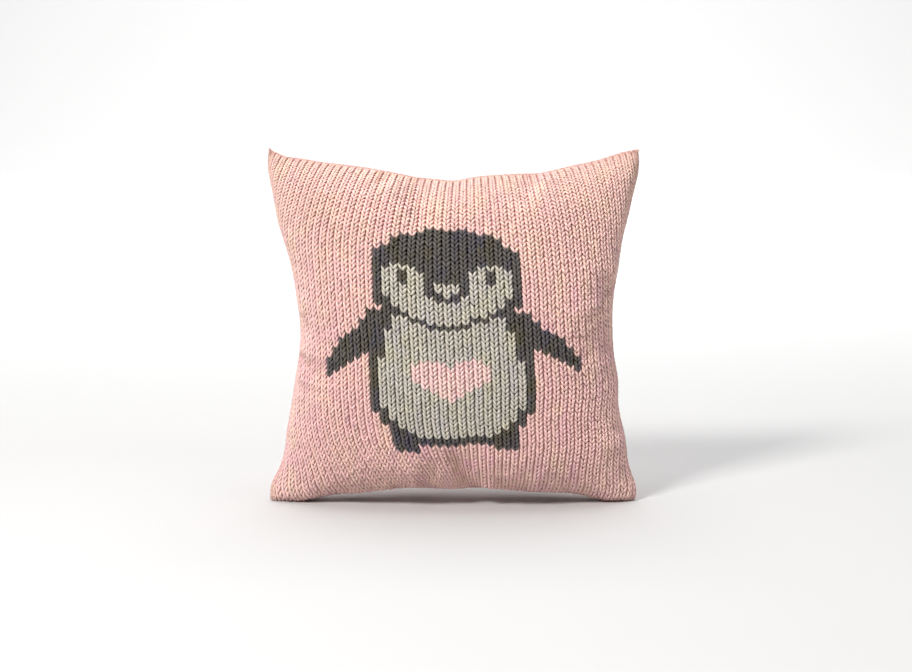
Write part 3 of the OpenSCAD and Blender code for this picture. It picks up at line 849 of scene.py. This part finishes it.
# Front and back surfaces joined by a strip that dives inside at the seam and over the zip
def closedBody(front, back, tuck, channel=None):
    rows, cols = front.shape[:2]
    count = rows * cols
    rim = borderLoop(rows, cols)
    middle = np.array([0, 0, height / 2])
    strips = []
    for surface, side in ((front, -1), (back, 1)):
        edge = surface.reshape(-1, 3)[rim]
        inward = (middle - edge) * (1, 0, 1)
        strip = edge + tuck * inward / np.linalg.norm(inward, axis=-1, keepdims=True)
        strip[:, 1] *= 0.8
        if channel:
            opened = (1 - smooth(outline["zipHalf"] - 3, outline["zipHalf"] + 3, np.abs(edge[:, 0])))
            opened = opened * (edge[:, 2] < outline["bottomBelow"])
            strip[:, 1] = (1 - opened) * strip[:, 1] + opened * side * channel["channelHalf"]
            strip[:, 2] = (1 - opened) * strip[:, 2] + opened * channel["channelTop"]
        strips.append(strip)
    points = np.concatenate([front.reshape(-1, 3), back.reshape(-1, 3), *strips])
    first, second = 2 * count + np.arange(len(rim)), 2 * count + len(rim) + np.arange(len(rim))
    grid = gridQuads(rows, cols)
    rimQuads = loopQuads([rim, first, second, count + rim])[:, ::-1]
    quads = np.concatenate([grid, (grid + count)[:, ::-1], rimQuads])
    return points, quads, len(rimQuads)


# Flat map of a closed body: front in the left half, back in the right, the strip along the foot
def closedMap(rows, cols, rimCount):
    a, b = np.meshgrid(np.linspace(0.01, 0.49, cols), np.linspace(0.03, 0.99, rows))
    spots = np.stack([a, b], axis=-1).reshape(-1, 2)
    grid = gridQuads(rows, cols)
    frontMap = spots[grid]
    backMap = (spots + (0.5, 0))[grid][:, ::-1]
    perLoop = rimCount // 3
    x = np.linspace(0.01, 0.99, perLoop + 1)
    stripMap = []
    for k in range(3):
        low, high = (np.full(perLoop, y + 0.008 * k) for y in (0.002, 0.008))
        corners = ((x[:-1], low), (x[:-1], high), (x[1:], high), (x[1:], low))
        stripMap.append(np.stack([np.stack(spot, -1) for spot in corners], axis=1)[:, ::-1])
    return np.concatenate([frontMap, backMap, *stripMap])


def addBacking():
    a, b = np.meshgrid(np.linspace(-1, 1, backing["across"] + 1), np.linspace(-1, 1, backing["up"] + 1))
    front = sampleGrid(faces["front"]["points"], a, b)
    back = sampleGrid(faces["back"]["points"], a, b)
    points, quads, rimCount = closedBody(front, back, backing["seamTuck"], backing)
    middleU = (a[:-1, :-1] + a[1:, 1:]) / 2
    middleV = (b[:-1, :-1] + b[1:, 1:]) / 2
    wale, course = panelToChart(middleU, middleV)
    yarn = yarnChart(np.floor(wale), np.floor(course)).ravel()
    # Painted shade: the backing shows each yarn's deep colour in the gaps, turning to the seam's own
    # colour near the seams
    deeps = np.array([linear(yarnColours[key]["deep"]) for key in ("ground", "dark", "light", "heart")])
    nearSeam = smooth(0.88, 0.97, np.maximum(np.abs(middleU), np.abs(middleV))).reshape(-1, 1)
    seamColour = np.array(linear(backing["seamColour"]))
    shown = deeps[yarn] + (seamColour - deeps[yarn]) * nearSeam
    behind = deeps[0] + (seamColour - deeps[0]) * nearSeam
    perFace = np.concatenate([shown, behind, np.tile(seamColour, (rimCount, 1))])
    piece = buildPiece("knit_backing", points, quads, backingMaterial(),
                       uvs={"OFBake": closedMap(backing["up"] + 1, backing["across"] + 1,
                                                rimCount).reshape(-1, 2)},
                       colours={"backing": np.repeat(perFace, 4, axis=0)})
    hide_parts("front_ground", "back_panel")


addBacking()
print("backing")


seam = {
    "pitch": 7.4,
    "rings": 6,
    "deep": 2.3,  # how far a loop turns into the edge
    "shift": 0.6,  # how far the whole loop is moved back out
    "over": 1.4,
    "thick": 1.15,
    "slant": 2.6,
    "turn": 78.0,  # degrees to each side
    "uneven": 0.25,
}


# Places along the closed outline at even steps, with their inward directions and half widths
def outlineSteps(pitch):
    rim = borderLoop(cells + 1, cells + 1)
    front, back = (faces[faceName]["points"].reshape(-1, 3)[rim] for faceName in ("front", "back"))
    edge = (front + back) / 2
    half = np.append(back[:, 1] - front[:, 1], back[0, 1] - front[0, 1]) / 2
    edge = np.concatenate([edge, edge[:1]])
    gone = np.concatenate([[0], np.cumsum(np.linalg.norm(np.diff(edge, axis=0), axis=1))])
    count = int(gone[-1] / pitch)
    spots = (np.arange(count) + 0.5) * gone[-1] / count
    place = np.stack([np.interp(spots, gone, edge[:, k]) for k in range(3)], axis=-1)
    step = 1.5
    ahead = np.stack([np.interp(spots + step, gone, edge[:, k]) for k in range(3)], axis=-1)
    along = ahead - place
    along /= np.maximum(np.linalg.norm(along, axis=-1, keepdims=True), 1e-6)
    return place, along, np.cross(along, [0, 1, 0]), np.interp(spots, gone, half)


# Each loop goes through the edge: deep cos(a) - shift inwards, (half width + over) sin(a) to
# front and back, slanting along, so that only its ends show
def addSeam():
    place, along, inward, half = outlineSteps(seam["pitch"])
    overZip = (place[:, 2] < outline["bottomBelow"]) & (np.abs(place[:, 0]) < outline["zipHalf"] + 2)
    place, along, inward, half = (part[~overZip] for part in (place, along, inward, half))
    count, rings, sides = len(place), seam["rings"], stitch["sides"]
    a = np.radians(np.linspace(-seam["turn"], seam["turn"], rings))
    jitter = random.normal(0, seam["uneven"], (count, 1, 1))
    front = np.array([0, 1.0, 0])
    centre = (place[:, None] + inward[:, None] * (seam["deep"] * np.cos(a) - seam["shift"])[:, None]
              + front * ((half[:, None] + seam["over"]) * np.sin(a))[..., None]
              + along[:, None] * (seam["slant"] * a / a[-1])[:, None] + along[:, None] * jitter)
    run = np.gradient(centre, axis=1)
    run /= np.linalg.norm(run, axis=-1, keepdims=True)
    inner = inward[:, None] * np.cos(a)[:, None] + front * np.sin(a)[:, None]
    inner -= run * (inner * run).sum(-1, keepdims=True)
    inner /= np.linalg.norm(inner, axis=-1, keepdims=True)
    across = np.cross(run, inner)
    taper = seam["thick"] * np.clip(1.45 - np.abs(a / a[-1]) ** 4, 0.5, 1)
    angle = 2 * math.pi * np.arange(sides) / sides
    ring = across[:, :, None] * np.cos(angle)[:, None] + inner[:, :, None] * np.sin(angle)[:, None]
    points = centre[:, :, None] + taper[:, None, None] * ring
    points[..., 2] = np.maximum(points[..., 2], 0)
    perRow = 20  # loops side by side on the flat map
    rows = math.ceil(count / perRow)
    spots = np.stack([np.arange(count) % perRow / perRow, np.arange(count) // perRow / rows], axis=-1)
    # Painted shade on the sides of each seam loop, through the deep colour of the pink yarn
    paintedShade = np.broadcast_to(0.45 + 0.4 * np.sin(angle), (count, rings, sides))
    tint = 0.5 + 0.15 * random.normal(0, 1, (count, 1, 1))
    piece = yarnPiece("edge_seam", points, 0, spots, 1 / np.array([perRow, rows]), paintedShade, tint)
    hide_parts("cover_seam")


addSeam()
print("seam")


insert = {
    "casingInset": 4.2,
    "fillInset": 5.6,
    "cells": 72,
    "edgeHalf": 0.8,
    "lift": 9.0,  # how far it is raised over the zip
    "liftRise": 0.2,  # share of the half height over which that fades
    "liftEnds": (0.62, 0.8),  # and of the half width
    "gathers": (61, 57),  # folds of the sewn edges, in radians over the half width and height
    "gatherFade": 0.05,
    "gatherDepth": 0.35,
}


# Woven cotton-poly casing: plain weave, drawn at 1.2 mm a thread so that it shows; one wave
# is two threads
def casingMaterial():
    material, tree, shader, place = newMaterial("plain_weave_cotton_casing")
    threads = []
    wave = {"Vector": place, "Scale": 130.0, "Distortion": 0.6, "Detail": 1.0}
    for direction in ("X", "Z"):
        threads.append(addNode(tree, "ShaderNodeTexWave", wave, bands_direction=direction))
    woven = addNode(tree, "ShaderNodeMath", {0: threads[0].outputs["Fac"], 1: threads[1].outputs["Fac"]},
                    operation="MULTIPLY")
    dress(tree, shader, woven.outputs["Value"], "#DCD9D2", "#F5F3EE", 0.0003, {"Roughness": 0.85})
    return material


# Hollow polyester fibre: soft white clumps with no gloss
def fillingMaterial():
    material, tree, shader, place = newMaterial("polyester_fibre_filling")
    clumps = addNode(tree, "ShaderNodeTexNoise", {"Vector": place, "Scale": 45.0, "Detail": 8.0,
                                                  "Roughness": 0.7})
    dress(tree, shader, clumps.outputs["Fac"], "#E4E4E2", "#FFFFFF", 0.004,
          {"Roughness": 0.95, "Sheen Weight": 0.3})
    return material


# Pad surfaces follow the cover's, scaled towards its middle by the inset and raised over the zip
def padSurface(faceName, inset):
    a, b = np.meshgrid(*[np.linspace(-1, 1, insert["cells"] + 1)] * 2)
    points = sampleGrid(faces[faceName]["points"], a, b)
    middle = np.array([0, 0, height / 2])
    points = middle + (points - middle) * (1 - 2 * inset / np.array([width, depth, height]))
    fade = 1 - smooth(*insert["liftEnds"], np.abs(a))
    points[..., 2] += insert["lift"] * np.clip(1 - (b + 1) / insert["liftRise"], 0, 1) * fade
    edge = (np.abs(a) == 1) | (np.abs(b) == 1)
    points[..., 1][edge] = np.sign(faces[faceName]["side"]) * insert["edgeHalf"] * (1 - inset / 20)
    # gathers of the sewn edge: shallow folds across it that fade into the pad
    nearTop, nearSide = (np.exp(-(1 - np.abs(k)) / insert["gatherFade"]) for k in (b, a))
    ripple = np.sin(a * insert["gathers"][0]) * nearTop + np.sin(b * insert["gathers"][1]) * nearSide
    points[..., 1] += np.where(edge, 0, insert["gatherDepth"] * ripple)
    return points


def addPad(name, inset, material, slotName, fill, *nodes):
    front, back = (padSurface(faceName, inset) for faceName in ("front", "back"))
    points, quads, rimCount = closedBody(front, back, 0.2)
    size = insert["cells"] + 1
    piece = buildPiece(name, points, quads, material,
                       uvs={"OFBake": closedMap(size, size, rimCount).reshape(-1, 2)})
    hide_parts(*nodes)


addPad("insert_casing", insert["casingInset"], casingMaterial(), "casing", 0.9, "insert_front",
       "insert_back", "insert_seam")
addPad("filling_fibre", insert["fillInset"], fillingMaterial(), "fill", 0.9, "filling")
print("insert")


zipParts = {"bevelMm": 0.22, "bevelSegments": 3, "sharpest": 40}  # degrees that count as an edge


# Brushed nickel-plated zinc: pale warm grey metal with fine scuffs
def nickelMaterial():
    material, tree, shader, place = newMaterial("nickel_plated_zinc")
    stretched = addNode(tree, "ShaderNodeMapping", {"Vector": place, "Scale": (1.0, 12.0, 4.0)})
    scuffs = addNode(tree, "ShaderNodeTexNoise", {"Vector": stretched.outputs["Vector"], "Scale": 420.0,
                                                  "Detail": 6.0})
    rough = addNode(tree, "ShaderNodeMapRange", {"Value": scuffs.outputs["Fac"], "To Min": 0.22,
                                                 "To Max": 0.48})
    dress(tree, shader, scuffs.outputs["Fac"], "#B9B4AC", "#D8D4CC", 0.00004,
          {"Roughness": rough.outputs["Result"], "Metallic": 1.0})
    return material


# Moulded acetal teeth: satin rose plastic, slightly paler where the mould rubbed it
def acetalMaterial():
    material, tree, shader, place = newMaterial("moulded_acetal_teeth")
    rub = addNode(tree, "ShaderNodeTexNoise", {"Vector": place, "Scale": 300.0, "Detail": 4.0})
    colour = addNode(tree, "ShaderNodeMix", {0: rub.outputs["Fac"], 6: linear("#D79E93"),
                                             7: linear("#EBBBB0")}, data_type="RGBA")
    setInputs(tree, shader, {"Base Color": colour.outputs[2], "Roughness": 0.38})
    return material


# Woven polyester tape or sewing thread: ribs across at the thread's own spacing. A wave of
# scale 1 is 314 mm long, and holds two threads
def threadMaterial(name, low, high, spacingMm, direction):
    material, tree, shader, place = newMaterial(name)
    ribs = addNode(tree, "ShaderNodeTexWave", {"Vector": place, "Scale": 314.0 / spacingMm / 2,
                                               "Distortion": 0.4}, bands_direction=direction)
    fuzz = addNode(tree, "ShaderNodeTexNoise", {"Vector": place, "Scale": 1500.0, "Detail": 3.0})
    mixed = addNode(tree, "ShaderNodeMath", {0: fuzz.outputs["Fac"], 1: 0.5, 2: ribs.outputs["Fac"]},
                    operation="MULTIPLY_ADD")
    dress(tree, shader, mixed.outputs["Value"], low, high, 0.0002, {"Roughness": 0.8, "Sheen Weight": 0.2})
    return material


# A CAD node's own mesh, merged and with its edges rolled over as pressed or cast parts have
def rolledEdges(node, body, material):
    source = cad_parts[node]
    mesh = source.data.copy()
    mesh.transform(source.matrix_world)
    mesh.materials.clear()
    mesh.materials.append(material)
    work = bmesh.new()
    work.from_mesh(mesh)
    bmesh.ops.remove_doubles(work, verts=work.verts, dist=1e-6)
    bmesh.ops.dissolve_limit(work, angle_limit=0.02, verts=work.verts, edges=work.edges)
    work.to_mesh(mesh)
    work.free()
    piece = bpy.data.objects.new(node + "_finished", mesh)
    bpy.context.scene.collection.objects.link(piece)
    bevel = piece.modifiers.new("rolled_edges", "BEVEL")
    bevel.width = zipParts["bevelMm"] / 1000
    bevel.segments = zipParts["bevelSegments"]
    bevel.limit_method = "ANGLE"
    bevel.angle_limit = math.radians(zipParts["sharpest"])
    bevel.harden_normals = True
    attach(piece, body)
    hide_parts(node)


def addZip():
    nickel, acetal = nickelMaterial(), acetalMaterial()
    tape = threadMaterial("woven_polyester_tape", "#B98278", "#DFA79B", 0.6, "X")
    thread = threadMaterial("polyester_sewing_thread", "#E0B8AC", "#F4D6CB", 0.35, "X")
    for node, body in (("zip_slider", "slider"), ("zip_pull", "pull"), ("zip_bottom_stop", "cushion"),
                       ("zip_top_stops", "cushion")):
        rolledEdges(node, body, nickel)
    dressed = {"zip_teeth_front": acetal, "zip_teeth_back": acetal, "zip_tape_front": tape,
               "zip_tape_back": tape, "zip_stitching": thread, "zip_bar_tacks": thread,
               "insert_closing_stitches": thread}
    for node, material in dressed.items():
        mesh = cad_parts[node].data
        for k in range(len(mesh.materials)):
            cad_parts[node].material_slots[k].material = material


addZip()
print("zip")
